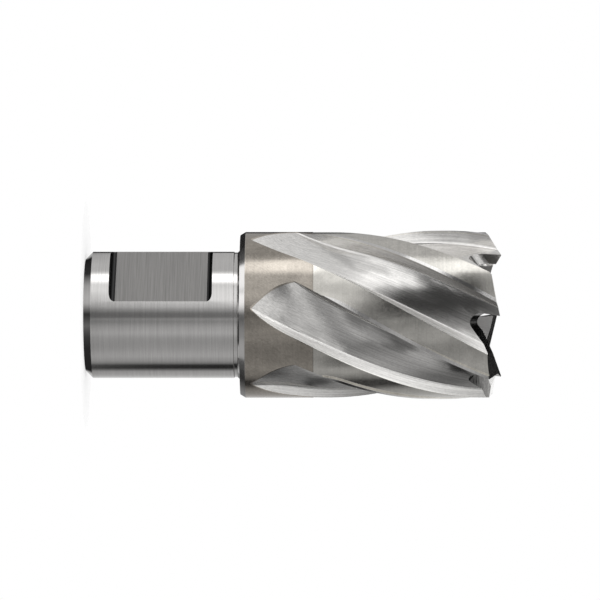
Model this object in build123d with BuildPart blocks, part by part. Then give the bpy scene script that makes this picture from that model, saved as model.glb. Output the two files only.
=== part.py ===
from build123d import *
from math import cos, degrees, radians, sin, sqrt, tan
import os

# Annular cutter: one piece of high speed steel with a side-lock shank, a hollow body,
# six right-hand helical flutes and six teeth of two alternating forms.
# The shank's end face is at Z 0 and the teeth point along +Z.

# Whole tool
overall_length = 62.4
shank_length = 23.3
cutting_diameter = 25.4
body_clearance = 0.2
land_clearance = 0.25
ground_length = 28.15

# Shank
shank_diameter = 19.05
shank_chamfer = 1.1
shank_relief_width = 0.95
shank_relief_depth = 0.12
shoulder_bevel = 0.4
shoulder_chamfer_length = 0.8
shoulder_chamfer_height = 0.48

# Side-lock flats, cut square to each other
flat_count = 2
flat_spacing = 90.0
flat_depth = 1.85
flat_start = 3.8
flat_length = 15.4
flat_corner_radius = 0.8

# Slug bore and the through hole for the pilot pin
wall_thickness = 4.0
bore_depth = 34.0
pilot_diameter = 6.4
pilot_chamfer = 0.5

# Flutes: angles are measured round the axis from a land's leading edge
tooth_count = 6
helix_lead = 143.0
tip_edge_angle = 12.4
rake_wall_depth = 1.92
rake_angle = -8.5
rake_root_fillet = 0.35
back_root_angle = 36.0
back_root_depth = 1.5
back_wall_slope = 35.0
back_wall_opening = 20.0
back_root_fillet = 0.6
floor_sag = 0.6

# Margins: the narrow raised strip behind each leading edge, which cuts the full diameter
margin_width = 0.6
margin_start_gap = 0.7
margin_taper_length = 3.6
margin_overlap = 2.0
margin_root = 0.3
margin_stock = 0.4
margin_steps = 15

# Run-out of the flutes towards the shank
flute_start_gap = 1.5
flute_wheel_radius = 21.0
rake_runout_lag = 7.8
flute_tool_height = 8.0
flute_tool_overrun = 1.6
flute_tool_lead_in = 0.9
runout_steps = 11
helix_steps = 6

# Gullets through the wall ahead of each tooth
gullet_face_lead = 7.0
gullet_face_tilt = 10.5
gullet_depth = 5.07
gullet_slope = 33.5
gullet_corner_radius = 1.35
gullet_flank_angle = 30.0
gullet_flank_length = 9.0
gullet_tool_start = 3.5
gullet_tool_reach = 14.0
gullet_tool_height = 9.0

# Tooth ends: a roof with its ridge in the middle of the wall, and relief behind it
ridge_inset = 2.26
first_tooth = {"drop": 0.0, "outer": 27.5, "outer_relief": 18.2, "inner": 21.8, "inner_relief": 10.4}
second_tooth = {"drop": 0.35, "outer": 5.0, "outer_relief": 11.3, "inner": 16.7, "inner_relief": 6.8}
end_tool_reach = 16.0
end_tool_height = 9.0
sector_overlap = 3.0

shank_radius = shank_diameter / 2
cutting_radius = cutting_diameter / 2
body_radius = cutting_radius - body_clearance
land_radius = cutting_radius - land_clearance
bore_radius = cutting_radius - wall_thickness
ridge_radius = cutting_radius - ridge_inset
pilot_radius = pilot_diameter / 2
bore_floor = overall_length - bore_depth
ground_start = overall_length - ground_length
tooth_pitch = 360 / tooth_count
face_angle = tip_edge_angle + gullet_face_lead

rake_root_radius = cutting_radius - rake_wall_depth
back_root_radius = cutting_radius - back_root_depth
flute_start = shank_length + flute_start_gap
back_full_depth = flute_start + sqrt(2 * flute_wheel_radius * (body_radius - back_root_radius))
rake_full_depth = back_full_depth + rake_runout_lag


def polar(radius, angle):
    return Vector(radius * cos(radians(angle)), radius * sin(radians(angle)))


def edge_angle_at(z):
    # Where a land's leading edge stands round the axis at height z
    return tip_edge_angle + 360 * (z - overall_length) / helix_lead


def wheel_lift(z, full_depth_at):
    # How far the grinding wheel has lifted out of its full depth at height z
    short_of_full = max(0.0, full_depth_at - z)
    return short_of_full**2 / (2 * flute_wheel_radius)


def flute_points(z):
    # The corners of one flute's section at height z, as seen from the teeth
    edge_angle = edge_angle_at(z)
    edge = polar(cutting_radius, edge_angle)
    rake_inward = -polar(1, edge_angle + rake_angle)
    rake_lift = wheel_lift(z, rake_full_depth)
    rake_outer = edge - rake_inward * flute_tool_height
    rake_root = edge + rake_inward * (rake_wall_depth - rake_lift)

    back_lift = wheel_lift(z, back_full_depth)
    opening = back_wall_opening * max(0.0, back_full_depth - z) / (back_full_depth - flute_start)
    back_angle = edge_angle + back_root_angle
    back_root = polar(back_root_radius + back_lift, back_angle)
    back_outer = back_root + polar(flute_tool_height, back_angle + back_wall_slope + opening)

    middle_radius = (rake_root_radius + rake_lift + back_root_radius + back_lift) / 2 - floor_sag
    floor_middle = polar(middle_radius, edge_angle + back_root_angle / 2)
    return rake_outer, rake_root, floor_middle, back_root, back_outer


# The turned blank: shank with a ground relief, shoulder, body, slug bore and pilot hole
with BuildPart() as annular_cutter:
    with BuildSketch(Plane.XZ):
        with BuildLine():
            relief_start = shank_length - shank_relief_width
            relief_radius = shank_radius - shank_relief_depth
            Polyline(
                (pilot_radius + pilot_chamfer, 0),
                (shank_radius - shank_chamfer, 0),
                (shank_radius, shank_chamfer),
                (shank_radius, relief_start),
                (relief_radius, relief_start + shank_relief_depth),
                (relief_radius, shank_length - shoulder_bevel),
                (relief_radius + shoulder_bevel, shank_length),
                (body_radius - shoulder_chamfer_height, shank_length),
                (body_radius, shank_length + shoulder_chamfer_length),
                (body_radius, ground_start),
                (land_radius, ground_start + body_radius - land_radius),
                (land_radius, overall_length),
                (bore_radius, overall_length),
                (bore_radius, bore_floor),
                (pilot_radius, bore_floor),
                (pilot_radius, pilot_chamfer),
                close=True,
            )
        make_face()
    revolve(axis=Axis.Z)

    # Side-lock flats, each with the round corners that its milling cutter leaves
    with BuildPart(mode=Mode.PRIVATE) as flat_tool:
        with BuildSketch(Plane.XZ.offset(-shank_radius)) as flat_section:
            with Locations((shank_radius - flat_depth, flat_start)):
                Rectangle(shank_radius, flat_length, align=(Align.MIN, Align.MIN))
            fillet(flat_section.vertices().group_by(Axis.X)[0], flat_corner_radius)
        extrude(amount=2 * shank_radius)
    with PolarLocations(0, flat_count, start_angle=180, angular_range=flat_count * flat_spacing):
        add(flat_tool.part, mode=Mode.SUBTRACT)

    # Margins: strips that twist with the helix, ground to the cutting diameter on the outside
    with BuildPart(mode=Mode.PRIVATE) as margin_strip:
        taper_start = ground_start + margin_start_gap
        margin_rise = (overall_length - taper_start) / margin_steps
        inner_radius = land_radius - margin_root
        outer_radius = cutting_radius + margin_stock
        for step in range(margin_steps + 1):
            height = taper_start + margin_rise * step
            shown = min(1.0, (height - taper_start) / margin_taper_length)
            front = edge_angle_at(height) + margin_overlap
            back = edge_angle_at(height) - degrees(margin_width / cutting_radius) * shown
            with BuildSketch(Plane.XY.offset(height)):
                with BuildLine():
                    Polyline(
                        polar(inner_radius, front),
                        polar(outer_radius, front),
                        polar(outer_radius, back),
                        polar(inner_radius, back),
                        close=True,
                    )
                make_face()
        loft()
        Cylinder(
            cutting_radius,
            overall_length,
            align=(Align.CENTER, Align.CENTER, Align.MIN),
            mode=Mode.INTERSECT,
        )
    with PolarLocations(0, tooth_count):
        add(margin_strip.part)

    # Flutes: the cutter's sections twist with the helix and rise out at the shank end
    with BuildPart(mode=Mode.PRIVATE) as flute_tool:
        tool_start = flute_start - flute_tool_lead_in
        tool_end = overall_length + flute_tool_overrun
        runout_rise = (rake_full_depth - tool_start) / runout_steps
        helix_rise = (tool_end - rake_full_depth) / helix_steps
        heights = [tool_start + runout_rise * step for step in range(runout_steps)]
        heights += [rake_full_depth + helix_rise * step for step in range(helix_steps + 1)]
        for height in heights:
            rake_outer, rake_root, floor_middle, back_root, back_outer = flute_points(height)
            with BuildSketch(Plane.XY.offset(height)) as section:
                with BuildLine():
                    Line(rake_outer, rake_root)
                    ThreePointArc(rake_root, floor_middle, back_root)
                    Line(back_root, back_outer)
                    Line(back_outer, rake_outer)
                make_face()
                fillet(section.vertices().sort_by_distance(rake_root)[0], rake_root_fillet)
                fillet(section.vertices().sort_by_distance(back_root)[0], back_root_fillet)
        loft()
    with PolarLocations(0, tooth_count):
        add(flute_tool.part, mode=Mode.SUBTRACT)

    # Gullets: a notch with a rake face that leans with the helix, a round corner and a sloping flank
    with BuildPart(mode=Mode.PRIVATE) as gullet_tool:
        face_direction = radians(90 - gullet_face_tilt)
        flank_direction = radians(gullet_flank_angle)
        bisector = (face_direction + flank_direction) / 2
        half_corner = (face_direction - flank_direction) / 2
        round_rise = gullet_corner_radius * (sin(bisector) / sin(half_corner) - 1)
        gullet_floor = overall_length - gullet_depth - round_rise
        start_radius = gullet_tool_start
        start_height = gullet_floor + (ridge_radius - start_radius) * tan(radians(gullet_slope))
        outward = Vector(cos(radians(gullet_slope)), 0, -sin(radians(gullet_slope)))
        gullet_plane = Plane(origin=(start_radius, 0, start_height), x_dir=(0, 1, 0), z_dir=outward)
        with BuildSketch(gullet_plane) as notch:
            face_lean = tan(radians(gullet_face_tilt))
            corner = -gullet_depth * face_lean
            with BuildLine():
                Polyline(
                    (corner, 0),
                    (corner + gullet_flank_length, gullet_flank_length * tan(flank_direction)),
                    (corner + gullet_flank_length, gullet_tool_height),
                    (corner + gullet_tool_height * face_lean, gullet_tool_height),
                    close=True,
                )
            make_face()
            fillet(notch.vertices().sort_by(Axis.Y)[0], gullet_corner_radius)
        extrude(amount=gullet_tool_reach)
    with PolarLocations(0, tooth_count, start_angle=face_angle):
        add(gullet_tool.part, mode=Mode.SUBTRACT)

    # Tooth ends: the steel above each tooth's outer and inner slope is ground away
    for first, form in enumerate((first_tooth, second_tooth)):
        for slope, relief in (("outer", "outer_relief"), ("inner", "inner_relief")):
            side = 1 if slope == "outer" else -1
            with BuildPart(mode=Mode.PRIVATE) as end_tool:
                upward = (side * tan(radians(form[slope])), -tan(radians(form[relief])), 1)
                apex = (ridge_radius, 0, overall_length - form["drop"])
                with BuildSketch(Plane(origin=apex, z_dir=upward)):
                    Rectangle(2 * end_tool_reach, 2 * end_tool_reach)
                extrude(amount=end_tool_height)
                with BuildSketch(Plane.XY.offset(overall_length - end_tool_height)):
                    with BuildLine():
                        Polyline(
                            (0, 0),
                            polar(end_tool_reach, sector_overlap),
                            polar(end_tool_reach, (sector_overlap * 2 - tooth_pitch) / 2),
                            polar(end_tool_reach, sector_overlap - tooth_pitch),
                            close=True,
                        )
                    make_face()
                extrude(amount=2 * end_tool_height, mode=Mode.INTERSECT)
            start = face_angle + first * tooth_pitch
            with PolarLocations(0, tooth_count // 2, start_angle=start):
                add(end_tool.part, mode=Mode.SUBTRACT)

annular_cutter.part.label = "annular_cutter"

os.makedirs("parts", exist_ok=True)
export_step(annular_cutter.part, "parts/annular_cutter.step")
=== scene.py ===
from math import cos, pi, radians, sin

import bmesh
import bpy
from mathutils import Matrix, Vector

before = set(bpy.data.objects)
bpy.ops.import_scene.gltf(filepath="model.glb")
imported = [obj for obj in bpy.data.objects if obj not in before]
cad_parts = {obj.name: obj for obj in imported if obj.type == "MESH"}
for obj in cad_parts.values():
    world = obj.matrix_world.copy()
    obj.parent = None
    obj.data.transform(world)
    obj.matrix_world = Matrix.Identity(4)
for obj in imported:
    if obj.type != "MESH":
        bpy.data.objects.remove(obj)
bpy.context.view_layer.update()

# Camera: a long lens looks square at the tool's side, rolled so that the tool lies down in the
# picture with its teeth to the right. It stands 0.7 m off, a little nearer the teeth.
camera_azimuth = radians(48.6)
camera_distance = 0.7
camera_tilt = 0.0075
picture_scale = 0.0001508
picture_size = 600
sensor_width = 36.0
axis_drop = 0.002247
aim_height = 0.03226

towards_camera = Vector((sin(camera_azimuth), -cos(camera_azimuth), 0))
picture_up = Vector((-cos(camera_azimuth), -sin(camera_azimuth), 0))
tool_axis = Vector((0, 0, 1))
camera_back = towards_camera * cos(camera_tilt) + tool_axis * sin(camera_tilt)
picture_right = tool_axis * cos(camera_tilt) - towards_camera * sin(camera_tilt)

camera_data = bpy.data.cameras.new("camera")
camera_data.sensor_width = sensor_width
camera_data.lens = sensor_width * camera_distance / (picture_size * picture_scale)
camera_data.clip_start = 0.01
camera_data.clip_end = 10.0
camera = bpy.data.objects.new("camera", camera_data)
camera_place = tool_axis * aim_height + picture_up * axis_drop + camera_back * camera_distance
camera_roll = Matrix((picture_right, picture_up, camera_back)).transposed().to_4x4()
camera.matrix_world = Matrix.Translation(camera_place) @ camera_roll
bpy.context.scene.collection.objects.link(camera)
bpy.context.scene.camera = camera


# World: plain white, as the camera and the steel see it, and a plain level for the rest. The two
# classes write shader maths as expressions: a Value wraps a socket, a Graph adds the nodes.
class Value:
    def __init__(self, graph, socket):
        self.graph = graph
        self.socket = socket

    def math(self, operation, *others):
        return self.graph.add("ShaderNodeMath", {"operation": operation}, self, *others)

    def __add__(self, other):
        return self.math("ADD", other)

    __radd__ = __add__

    def __mul__(self, other):
        return self.math("MULTIPLY", other)

    __rmul__ = __mul__

    def __sub__(self, other):
        return self.math("SUBTRACT", other)

    def __rsub__(self, other):
        return self.graph.add("ShaderNodeMath", {"operation": "SUBTRACT"}, other, self)

    def __truediv__(self, other):
        return self.math("DIVIDE", other)


class Graph:
    def __init__(self, tree):
        self.tree = tree
        tree.nodes.clear()

    def add(self, kind, settings=None, *inputs, output=0, **named):
        # One node: its settings first, then its sockets' values or links, by place or by name
        node = self.tree.nodes.new(kind)
        for key, value in (settings or {}).items():
            if key == "stops":
                self.set_stops(node.color_ramp, value)
            else:
                setattr(node, key, value)
        sockets = list(enumerate(inputs))
        sockets += [(name.replace("_", " "), value) for name, value in named.items()]
        for key, value in sockets:
            if isinstance(value, Value):
                self.tree.links.new(value.socket, node.inputs[key])
            elif value is not None:
                node.inputs[key].default_value = value
        return Value(self, node.outputs[output] if node.outputs else None)

    @staticmethod
    def set_stops(ramp, stops):
        while len(ramp.elements) < len(stops):
            ramp.elements.new(1.0)
        for element, (position, level) in zip(ramp.elements, stops):
            element.position = position
            element.color = (level, level, level, 1.0)


plain_level = 0.7
white = (1.0, 1.0, 1.0, 1.0)
world = bpy.data.worlds.new("studio")
bpy.context.scene.world = world
world.use_nodes = True
graph = Graph(world.node_tree)
seen = graph.add("ShaderNodeLightPath", output="Is Camera Ray")
for ray in ("Is Glossy Ray", "Is Transmission Ray"):
    seen = seen.math("MAXIMUM", graph.add("ShaderNodeLightPath", output=ray))
background = graph.add("ShaderNodeBackground", None, white, plain_level + seen * (1.0 - plain_level))
graph.add("ShaderNodeOutputWorld", None, background)

# Light tent: a ball of white cloth all round the tool, lit from outside, with dark gaps where its
# panels stop. The steel mirrors it as bands, and the camera looks through it at the white world.
# Angles run round the tool's axis from the camera, up over the picture's top, and back.
tent_radius = 4.0
tent_peak = 2.5
plain_light = 1.15
tent_mesh = bpy.data.meshes.new("light_tent")
tent_shape = bmesh.new()
bmesh.ops.create_uvsphere(tent_shape, u_segments=48, v_segments=24, radius=tent_radius)
bmesh.ops.reverse_faces(tent_shape, faces=tent_shape.faces)
tent_shape.to_mesh(tent_mesh)
tent_shape.free()
tent = bpy.data.objects.new("light_tent", tent_mesh)
bpy.context.scene.collection.objects.link(tent)
tent.visible_camera = False
tent.visible_shadow = False
tent_cloth = bpy.data.materials.new("tent_cloth")
tent_cloth.use_nodes = True
graph = Graph(tent_cloth.node_tree)


def along(vector, direction):
    # How far a vector reaches in one direction
    dot = {"operation": "DOT_PRODUCT"}
    return vector.graph.add("ShaderNodeVectorMath", dot, vector, tuple(direction), output=1)


def degrees(value):
    return value / pi * 180


def turn_from_camera(vector):
    # The angle round the tool's axis, from the camera and up
    return degrees(along(vector, picture_up).math("ARCTAN2", along(vector, towards_camera)))


def rise(value, low, high):
    # 0 below low, 1 above high
    smooth = {"interpolation_type": "SMOOTHSTEP"}
    return value.graph.add("ShaderNodeMapRange", smooth, Value=value, From_Min=low, From_Max=high)


def between(value, low, high, soft):
    return rise(value, low - soft, low) * (1 - rise(value, high, high + soft))


def blend(first, second, share):
    return first * (1 - share) + second * share


def grey(level):
    return level.graph.add("ShaderNodeCombineXYZ", None, level, level, level)


def round_stops(levels, peak=1.0):
    # A ramp's stops from angles in degrees and their light
    return {"stops": [(angle / 360 + 0.5, light / peak) for angle, light in levels]}


place = graph.add("ShaderNodeTexCoord", output="Object")
outward = graph.add("ShaderNodeVectorMath", {"operation": "NORMALIZE"}, place)
turn_angle = turn_from_camera(outward)
height_angle = degrees(along(outward, tool_axis).math("ARCSINE"))


def panel(*levels, slant=0.0):
    # A band of cloth round the tool, which may lie aslant above the tool's level
    round_place = (turn_angle - height_angle.math("MAXIMUM", -4.0) * slant) / 360 + 0.5
    return graph.add("ShaderNodeValToRGB", round_stops(levels, tent_peak), round_place) * tent_peak


level_band = panel(
    (-180, 1.2), (-172, 0.8), (-145, 0.52), (-126, 0.44), (-119, 0.17), (-114, 0.01), (-104, 0.01),
    (-99, 0.24), (-88, 0.48), (-77, 0.52), (-66, 0.45), (-50, 0.38), (-43, 0.41), (-33, 0.57),
    (-22, 0.49), (-11, 0.3), (-7.6, 0.42), (-4, 0.19), (3, 0.22), (11, 0.5), (20, 0.95), (28, 1.22),
    (44, 1.1), (57, 0.88), (61, 1.3), (66, 2.3), (78, 2.3), (82, 1.0), (88, 0.6), (118, 0.63),
    (156, 0.52), (160, 0.02),
)
flute_band = panel(
    (-160, 0.28), (-143, 0.26), (-127, 0.15), (-112, 0.18), (-96, 0.4), (-80, 0.43), (-66, 0.3),
    (-52, 0.22), (-40, 0.42), (-22, 0.36), (-10, 0.2), (0, 0.1), (10, 0.04), (31, 0.04), (36, 0.14),
    (42, 0.42), (47, 0.65), (52, 1.1), (56, 1.35), (64, 1.55), (72, 1.25), (80, 1.0), (92, 0.88),
    (114, 0.84), (130, 0.4), (165, 0.03), slant=2.15,
)
upper_band = panel(
    (-118, 0.01), (-100, 0.12), (-88, 0.22), (-72, 0.42), (-62, 0.52), (-52, 0.8), (-40, 0.88),
    (-24, 0.98), (-8, 1.05), (8, 1.3), (40, 1.5), (66, 1.4), (80, 0.8), (100, 0.7), (125, 0.05),
    (140, 0.0),
)
lower_band = panel(
    (-180, 1.15), (-165, 1.1), (-140, 0.15), (-120, 0.03), (-90, 0.12), (-62, 0.4), (-40, 0.5),
    (-15, 0.8), (5, 1.2), (40, 1.25), (70, 1.4), (94, 1.4), (102, 0.8), (110, 0.1), (130, 0.02),
    (160, 0.02),
)
foot_band = panel(
    (-180, 1.15), (-165, 1.1), (-140, 0.15), (-120, 0.03), (-90, 0.07), (-60, 0.19), (-40, 0.31),
    (-27, 0.25), (-10, 0.14), (1, 0.16), (10, 0.6), (16, 0.95), (24, 1.3), (41, 1.6), (63, 1.5),
    (86, 1.0), (100, 0.3), (110, 0.1), (130, 0.02), (160, 0.02),
)
top_band = panel(
    (-180, 0.55), (-136, 0.56), (-130, 0.4), (-123, 0.5), (-112, 0.5), (-98, 0.5), (-60, 0.6),
    (60, 0.65), (100, 0.5),
)

# The flutes' band with its dimmed part and its patches, then the other bands over it, each between
# the height angles where it starts and is full
run_out_light, run_out_drop = 0.88, 0.32
tip_light = 0.98
deep_light = 0.48
back_light = 1.1
dimming, corner_dimming = 0.45, 0.8
level_reach, level_soft = 3.2, 0.8
above_level = rise(height_angle, -9, -6.5)
dimmed = (1 - rise(height_angle, -9, -6)) * between(turn_angle, -64, 44, 8)
tent_light = flute_band.math("MINIMUM", 0.85 + above_level) * (1 - dimmed * dimming)
run_out_patch = between(turn_angle, -9, 0, 2.5) * between(height_angle, 8, 26, 4)
run_out_glow = run_out_light - rise(height_angle, 13, 15.5) * run_out_drop
tent_light = blend(tent_light, run_out_glow, run_out_patch)
tip_patch = between(turn_angle, -15, 0, 2.5) * between(height_angle, 19.5, 26, 2.5)
tent_light = blend(tent_light, tip_light, tip_patch)
level_part = between(height_angle, -level_reach, level_reach, level_soft)
tent_light = blend(tent_light, level_band, level_part)
bulge = between(turn_angle, 9, 18, 5) * 1.5
tent_light = blend(tent_light, upper_band, rise(height_angle + bulge, 21, 26))
lower_edge = height_angle - turn_angle.math("MAXIMUM", -10.0) * 0.17
lower_edge = lower_edge - (1 - rise(turn_angle, -92, -70)) * 7
tent_light = blend(tent_light, lower_band, 1 - rise(lower_edge, -34, -26))
deep_edge = height_angle - (1 - rise(turn_angle, -20, -5)) * 2.5
deep_gap = (1 - rise(deep_edge, -51.9, -50.2)) * (1 - rise(turn_angle, 46, 60))
tent_light = blend(tent_light, deep_light, deep_gap)
dark_corner = between(turn_angle, 100, 110, 5) * between(height_angle, -45, -40, 2)
tent_light = tent_light * (1 - dark_corner * corner_dimming)
tent_light = blend(tent_light, foot_band, 1 - rise(height_angle, -60, -57))
tent_light = blend(tent_light, top_band, rise(height_angle, 66, 71))
back_patch = (1 - between(turn_angle, -170, 172, 4)) * between(height_angle, 6, 30, 4)
tent_light = blend(tent_light, back_light, back_patch)

# Only what the steel mirrors has bands: the light that falls on it is plain
mirrored = graph.add("ShaderNodeLightPath", output="Is Glossy Ray")
glow = graph.add("ShaderNodeEmission", None, grey(plain_light + (tent_light - plain_light) * mirrored))
graph.add("ShaderNodeOutputMaterial", None, glow)
tent_mesh.materials.append(tent_cloth)

# Cards: black, grey and white cards stand close round the fluted part, inside the tent, on a thin
# clear sleeve. Only the steel mirrors them, so they part the lands' light from the flutes'.
sleeve_radius = 0.08
sleeve_from, sleeve_to = 0.022, 0.066
sleeve_mesh = bpy.data.meshes.new("card_sleeve")
sleeve_shape = bmesh.new()
bmesh.ops.create_cone(
    sleeve_shape, cap_ends=False, radius1=sleeve_radius, radius2=sleeve_radius, segments=128,
    depth=sleeve_to - sleeve_from,
    matrix=Matrix.Translation(tool_axis * (sleeve_from + sleeve_to) / 2),
)
bmesh.ops.reverse_faces(sleeve_shape, faces=sleeve_shape.faces)
sleeve_shape.to_mesh(sleeve_mesh)
sleeve_shape.free()
sleeve = bpy.data.objects.new("card_sleeve", sleeve_mesh)
bpy.context.scene.collection.objects.link(sleeve)
sleeve.visible_camera = False
sleeve.visible_shadow = False
sleeve.visible_diffuse = False
sleeve_material = bpy.data.materials.new("cards")
sleeve_material.use_nodes = True
graph = Graph(sleeve_material.node_tree)
place = graph.add("ShaderNodeTexCoord", output="Object")
card_turn = turn_from_camera(place)
card_height = along(place, tool_axis) * 1000
slanted_light = 0.1
low_veil_light, high_veil_light = 0.2, 0.5
cards = [
    # degrees round the tool, mm along it, soft edges of both, light
    ((0, 26), (34.5, 38.0), (6, 1.5), 1.3),
    ((44, 58), (39.0, 46.0), (6, 3.0), 1.5),
    ((62, 84), (38.0, 44.0), (5, 3.0), 0.95),
    ((56, 78), (47.5, 53.0), (6, 2.0), 1.5),
    ((-70, -60), (37.0, 43.0), (7, 2.5), 0.13),
    ((-62, -50), (43.5, 47.5), (6, 2.5), 0.17),
    ((8, 26), (43.5, 57.5), (9, 2.0), 0.05),
    ((2, 34), (49.0, 57.5), (9, 3.0), 0.05),
    ((-126, -100), (40.8, 43.4), (4, 1.2), 0.04),
]
slanted_edge = card_height - (card_turn - 36.0) * 0.5
slanted_card = rise(slanted_edge, 44.5, 50.5) * between(card_turn, 30, 58, 6)
slanted_card = slanted_card * (1 - rise(card_height, 60.5, 62.0))
clear_share = 1 - slanted_card
card_light = slanted_card * slanted_light
for turns, heights, (turn_soft, height_soft), light in cards:
    card = between(card_turn, *turns, turn_soft) * between(card_height, *heights, height_soft)
    clear_share = clear_share * (1 - card)
    card_light = blend(card_light, light, card)
low_veil = between(card_turn, -20, 26, 6) * low_veil_light
high_veil = between(card_turn, 57, 72, 4) * high_veil_light
card_light = card_light + (low_veil + high_veil) * between(card_height, 26.0, 33.0, 1.5)
clear = graph.add("ShaderNodeBsdfTransparent", None, grey(clear_share))
glow = graph.add("ShaderNodeEmission", None, grey(card_light))
sleeve_shader = graph.add("ShaderNodeAddShader", None, clear, glow)
graph.add("ShaderNodeOutputMaterial", None, sleeve_shader)
sleeve_mesh.materials.append(sleeve_material)

# Floor: a plain pale disc under the shank's end. What the steel mirrors of it is the tent's light
# on it, brighter and darker round the tool.
floor_radius = 0.017
floor_level = 0.55
floor_mesh = bpy.data.meshes.new("floor")
floor_shape = bmesh.new()
bmesh.ops.create_circle(floor_shape, cap_ends=True, radius=floor_radius, segments=96)
floor_shape.to_mesh(floor_mesh)
floor_shape.free()
floor = bpy.data.objects.new("floor", floor_mesh)
bpy.context.scene.collection.objects.link(floor)
floor_material = bpy.data.materials.new("floor")
floor_material.use_nodes = True
graph = Graph(floor_material.node_tree)
floor_place = graph.add("ShaderNodeTexCoord", output="Object")
floor_turn = turn_from_camera(floor_place) / 360 + 0.5
floor_stops = round_stops((
    (-88, 0.6), (-76, 0.02), (-36, 0.03), (-23, 0.06), (-17, 0.11), (-11, 0.18), (-5, 0.1), (1, 0.04),
    (6, 0.23), (12, 0.58), (18, 0.63), (31, 0.48), (38, 0.26), (46, 0.04), (78, 0.01), (88, 0.5),
))
floor_light = graph.add("ShaderNodeValToRGB", floor_stops, floor_turn)
mirrored = graph.add("ShaderNodeLightPath", output="Is Glossy Ray")
matt = graph.add("ShaderNodeBsdfDiffuse", None, grey((1 - mirrored) * (1.0 - floor_level)))
glow = graph.add("ShaderNodeEmission", None, grey(floor_level + (floor_light - floor_level) * mirrored))
graph.add("ShaderNodeOutputMaterial", None, graph.add("ShaderNodeAddShader", None, matt, glow))
floor_mesh.materials.append(floor_material)

# The cutter: one piece of high speed steel. Its shank is ground bright, its flats are milled, its
# body keeps a warm bloom from hardening, and its lands and flutes are ground after that. Lengths
# are in mm, and heights run from the shank's end.
shank_end = 23.3
body_from = 24.1
flat_from, flat_to = 3.8, 19.2
flat_floor_from, flat_floor_to = 4.8, 18.35
flat_level = -7.675
shank_radius = 9.525
land_radius = 12.45
margin_step = 0.12
bore_radius = 8.7
land_from = 34.25
helix_lead = 143.0
hatch_lead = 34.0
gullet_from, gullet_to = 58.2, 61.4
soft_edge = 0.1
millimetres = 1000.0

steel = bpy.data.materials.new("ground_steel")
steel.use_nodes = True
graph = Graph(steel.node_tree)
place = graph.add("ShaderNodeTexCoord", output="Object")
place = graph.add("ShaderNodeVectorMath", {"operation": "SCALE"}, place, Scale=millimetres)
across_x = graph.add("ShaderNodeSeparateXYZ", None, place, output="X")
across_y = graph.add("ShaderNodeSeparateXYZ", None, place, output="Y")
height = graph.add("ShaderNodeSeparateXYZ", None, place, output="Z")
off_axis = graph.add("ShaderNodeVectorMath", {"operation": "MULTIPLY"}, place, (1.0, 1.0, 0.0))
radius = graph.add("ShaderNodeVectorMath", {"operation": "LENGTH"}, off_axis, output=1)

# Where each zone of the tool lies
on_shank = 1 - rise(height, shank_end - soft_edge, shank_end)
below_x = 1 - rise(across_x, flat_level + 0.01, flat_level + 0.03)
below_y = 1 - rise(across_y, flat_level + 0.01, flat_level + 0.03)
milled = below_x.math("MAXIMUM", below_y) * between(height, flat_from, flat_to, 0.02)
milled = milled * (1 - rise(radius, shank_radius - 0.035, shank_radius - 0.005))
on_flat = milled * between(height, flat_floor_from, flat_floor_to, soft_edge)
flat_wall = milled - on_flat
off_shank = rise(height, body_from - soft_edge, body_from + soft_edge)
outside = rise(radius, land_radius - 0.06, land_radius - 0.02)
past_body = rise(height, land_from, land_from + soft_edge)
on_body = outside * off_shank * (1 - past_body)
on_margin = rise(radius, land_radius + margin_step, land_radius + margin_step + 0.04) * past_body
on_land = outside * past_body * (1 - on_margin)
in_bore = (1 - rise(radius, bore_radius + 0.02, bore_radius + 0.1)) * off_shank
in_flute = (1 - outside) * (1 - in_bore) * off_shank

# How the faces of the flutes and teeth lie: a back wall is known by its lean, and a gullet or a
# tooth's end by how far, in degrees, it looks up towards the teeth
back_lean = (0.35, 0.5)
wall_upward, gullet_upward, end_upward = (30, 38), (44, 50), (52, 58)
normal = graph.add("ShaderNodeNewGeometry", output="Normal")
round_way = graph.add(
    "ShaderNodeVectorMath", {"operation": "CROSS_PRODUCT"}, tuple(tool_axis), off_axis
)
round_way = graph.add("ShaderNodeVectorMath", {"operation": "NORMALIZE"}, round_way)
lean = graph.add("ShaderNodeVectorMath", {"operation": "DOT_PRODUCT"}, normal, round_way, output=1)
upward = degrees(along(normal, tool_axis).math("ARCSINE"))
back_wall = rise(0 - lean, *back_lean) * in_flute * (1 - rise(upward, *wall_upward))
gullet = between(upward, *gullet_upward, 3) * in_flute
tooth_end = rise(upward, *end_upward)


def twisted(lead):
    # The place on the tool, turned with its height so that one whole turn takes the lead
    turn = {"rotation_type": "Z_AXIS"}
    return graph.add("ShaderNodeVectorRotate", turn, Vector=place, Angle=height * (2 * pi / lead))


def marks(vector, stretch, blobs=1.0, detail=2.0, rough=0.5):
    # Noise drawn out along the directions whose stretch is small, in blobs per mm
    drawn = graph.add("ShaderNodeVectorMath", {"operation": "MULTIPLY"}, vector, stretch)
    return graph.add(
        "ShaderNodeTexNoise", None, Vector=drawn, Scale=blobs, Detail=detail, Roughness=rough
    )


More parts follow.
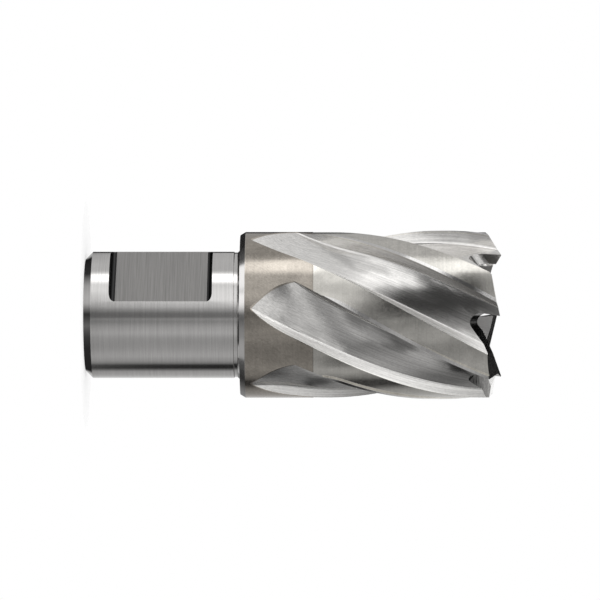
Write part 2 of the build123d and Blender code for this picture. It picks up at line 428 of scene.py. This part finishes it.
# The marks that each way of cutting leaves
along_flutes = twisted(-helix_lead)
end_lines_from = -41.4
round_angle = end_lines_from - degrees(across_y.math("ARCTAN2", across_x))
end_place = graph.add("ShaderNodeCombineXYZ", None, radius * 7.0, round_angle * 0.05, 0.0)
wheel_lines = marks(along_flutes, (6.0, 6.0, 0.08), detail=3.0, rough=0.6)
end_lines = marks(end_place, (1.0, 1.0, 1.0))
wheel_lines = blend(wheel_lines, end_lines, tooth_end)
turning = marks(place, (0.12, 0.12, 5.0), detail=3.0, rough=0.6)
milling = marks(place, (0.1, 0.1, 7.0), detail=3.0, rough=0.7)
hatch = marks(twisted(hatch_lead), (3.0, 3.0, 0.3))
gullet_lines = marks(place, (0.6, 0.6, 6.0))
mottle = marks(place, (1.0, 1.0, 1.0), blobs=2.2, detail=4.0, rough=0.7)
grain = marks(along_flutes, (1.0, 1.0, 0.5), blobs=5.0, detail=1.0)
blotches = marks(place, (1.0, 1.0, 1.0), blobs=0.35)


def mixed(first, second, share, way="MIX"):
    settings = {"data_type": "RGBA", "blend_type": way}
    unused = [None] * 5
    return graph.add("ShaderNodeMix", settings, share, *unused, first, second, output=2)


# Colours of the bare steel, zone by zone, then painted shade in the bore and on the flats' end walls
# and a painted highlight on the flutes' back walls
bright_steel = (0.62, 0.61, 0.6, 1.0)
milled_steel = (0.28, 0.274, 0.268, 1.0)
warm_steel = (0.352, 0.322, 0.284, 1.0)
land_steel = (0.55, 0.535, 0.5, 1.0)
flute_steel = (0.62, 0.61, 0.595, 1.0)
# Painted shade: a darker grey for the inside of the bore
bore_shade_steel = (0.22, 0.215, 0.21, 1.0)
# Painted shade: near black for the flats' end walls
flat_end_shade_steel = (0.03, 0.03, 0.03, 1.0)
# Painted highlight: a paler colour for the flutes' back walls
back_wall_highlight_steel = (0.85, 0.84, 0.82, 1.0)
colour = mixed(bright_steel, flute_steel, in_flute)
colour = mixed(colour, milled_steel, on_flat)
colour = mixed(colour, warm_steel, on_body)
colour = mixed(colour, land_steel, on_land)
# Painted shade: the bore's wall is darkened a little
colour = mixed(colour, bore_shade_steel, in_bore * 0.2)
# Painted shade: the flats' end walls are near black
colour = mixed(colour, flat_end_shade_steel, flat_wall)
# Painted highlight: the flutes' back walls are paler
colour = mixed(colour, back_wall_highlight_steel, back_wall)

# The marks lighten and darken the colour, each with its strength in each zone; in the gullets a painted
# shade darkens it towards their roots
shank_turning, body_turning = 0.36, 0.22
milling_strength, wheel_strength, hatch_strength = 0.9, 0.9, 0.4
body_mottle, land_mottle, blotch_strength = 0.6, 0.42, 0.5
body_grain, flute_grain, land_grain = 0.4, 0.3, 0.12
gullet_root_shade, gullet_tip_light, gullet_strength = 0.2, 0.75, 0.8
round_shank = on_shank * (1 - milled)
mottled = on_body + on_land
shade = 1.0 + (turning - 0.5) * (round_shank * shank_turning + outside * body_turning)
shade = shade + (milling - 0.5) * milling_strength * on_flat
shade = shade + (wheel_lines - 0.5) * wheel_strength * in_flute
shade = shade + (mottle - 0.5) * (on_body * body_mottle + on_land * land_mottle)
shade = shade + (blotches - 0.5) * blotch_strength * mottled
shade = shade + (hatch - 0.5) * hatch_strength * on_margin
grained = on_body * body_grain + on_land * land_grain + in_flute * (1 - tooth_end) * flute_grain
shade = shade + (grain - 0.5) * grained
# Painted shade in the gullets: darkest at their roots and lighter towards the teeth, with grinding
# lines across it
gullet_shade_and_lines = gullet_root_shade + rise(height, gullet_from, gullet_to) * gullet_tip_light
gullet_shade_and_lines = gullet_shade_and_lines + (gullet_lines - 0.5) * gullet_strength
shade = blend(shade, shade * gullet_shade_and_lines, gullet)
colour = mixed(colour, grey(shade), 1.0, way="MULTIPLY")

# How rough the zones are, and the depth in metres of the lines that the cutting leaves
bare_rough, mottle_rough = 0.12, 0.1
line_depth = 0.000003
rough = bare_rough + on_flat * 0.2 + mottled * 0.05 + in_flute * 0.02 + in_bore * 0.4
rough = rough + back_wall * 0.35 + (mottle - 0.5) * mottle_rough * mottled
relief = turning * (round_shank * 0.3 + outside * 0.4) + milling * on_flat
relief = relief + wheel_lines * in_flute * 0.4 + hatch * on_margin
bump = graph.add("ShaderNodeBump", None, Strength=1.0, Distance=line_depth, Height=relief)
surface = graph.add(
    "ShaderNodeBsdfPrincipled", None, Base_Color=colour, Metallic=1.0, Roughness=rough, Normal=bump
)
graph.add("ShaderNodeOutputMaterial", None, surface)
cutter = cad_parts["annular_cutter"]
cutter.material_slots[0].material = steel

bpy.context.scene.view_settings.view_transform = "Standard"
